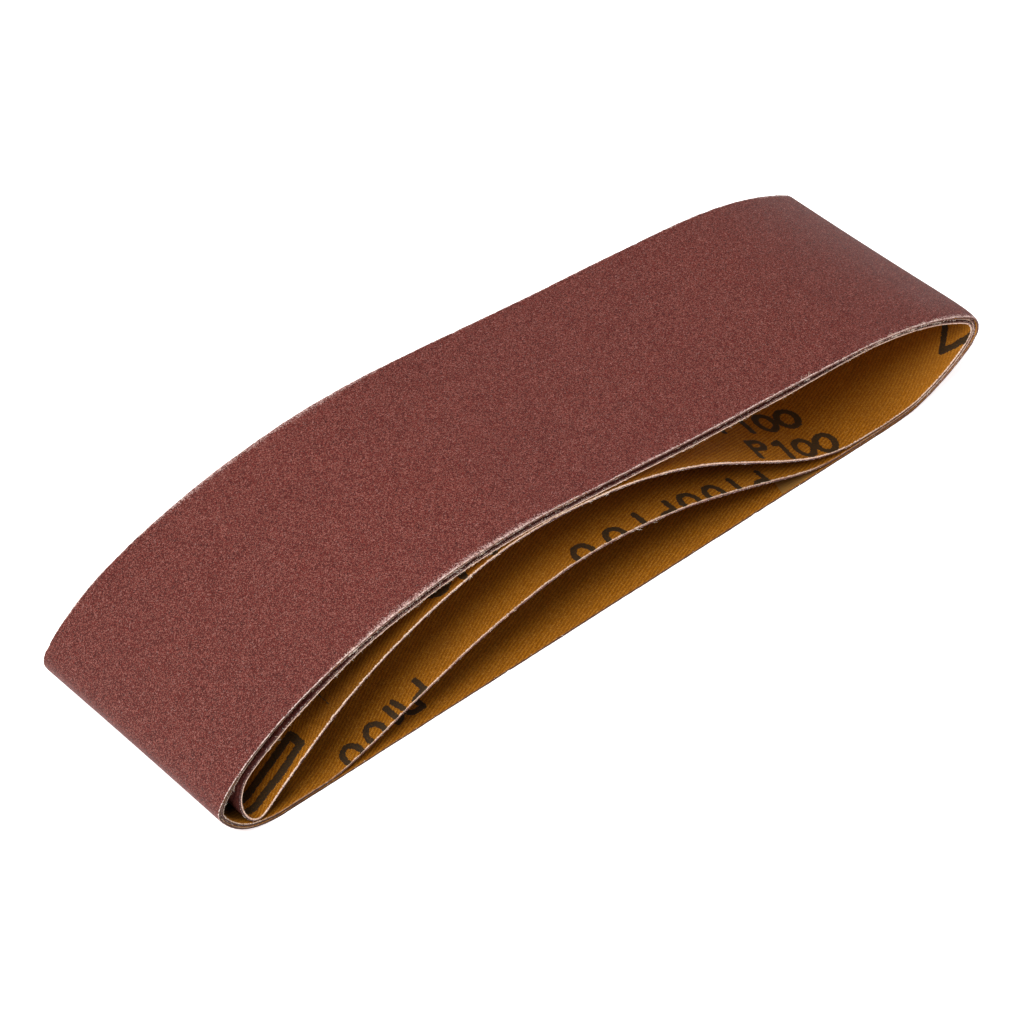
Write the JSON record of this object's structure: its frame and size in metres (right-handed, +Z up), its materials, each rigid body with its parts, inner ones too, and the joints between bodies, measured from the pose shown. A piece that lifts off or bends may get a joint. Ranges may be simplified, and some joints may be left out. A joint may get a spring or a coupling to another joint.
{
  "type": "nest of sanding belts",
  "caption": "Endless cloth-backed sanding belts nested one inside another and lying flattened, grain side out, each free to be pulled out sideways.",
  "frame": {"origin": "centre of the nest's box in X and Y, on the face that rests on the table", "axes": "+X along the flattened loops towards the raised tip, +Y across the belts' width towards the far rims, +Z up"},
  "size_m": [0.253, 0.075, 0.0454],
  "materials": {
    "abrasive_grain": "rough, fine closed grit in resin",
    "backing_cloth": "resin-filled cotton twill",
    "splice_film": "thin reinforced film, satin"
  },
  "bodies": {
    "outer_belt": {"outer_belt_backing": "backing_cloth", "outer_belt_grain": "abrasive_grain", "outer_splice_tape": "splice_film"},
    "middle_belt": {"middle_belt_backing": "backing_cloth", "middle_belt_grain": "abrasive_grain", "middle_splice_tape": "splice_film"},
    "inner_belt": {"inner_belt_backing": "backing_cloth", "inner_belt_grain": "abrasive_grain", "inner_splice_tape": "splice_film"}
  },
  "joints": [
    {"name": "middle_belt_pull", "type": "slide", "parent": "outer_belt", "child": "middle_belt", "axis": [0, -1, 0], "range_m": [-0.08, 0.08]},
    {"name": "inner_belt_pull", "type": "slide", "parent": "middle_belt", "child": "inner_belt", "axis": [0, -1, 0], "range_m": [-0.08, 0.08]}
  ]
}
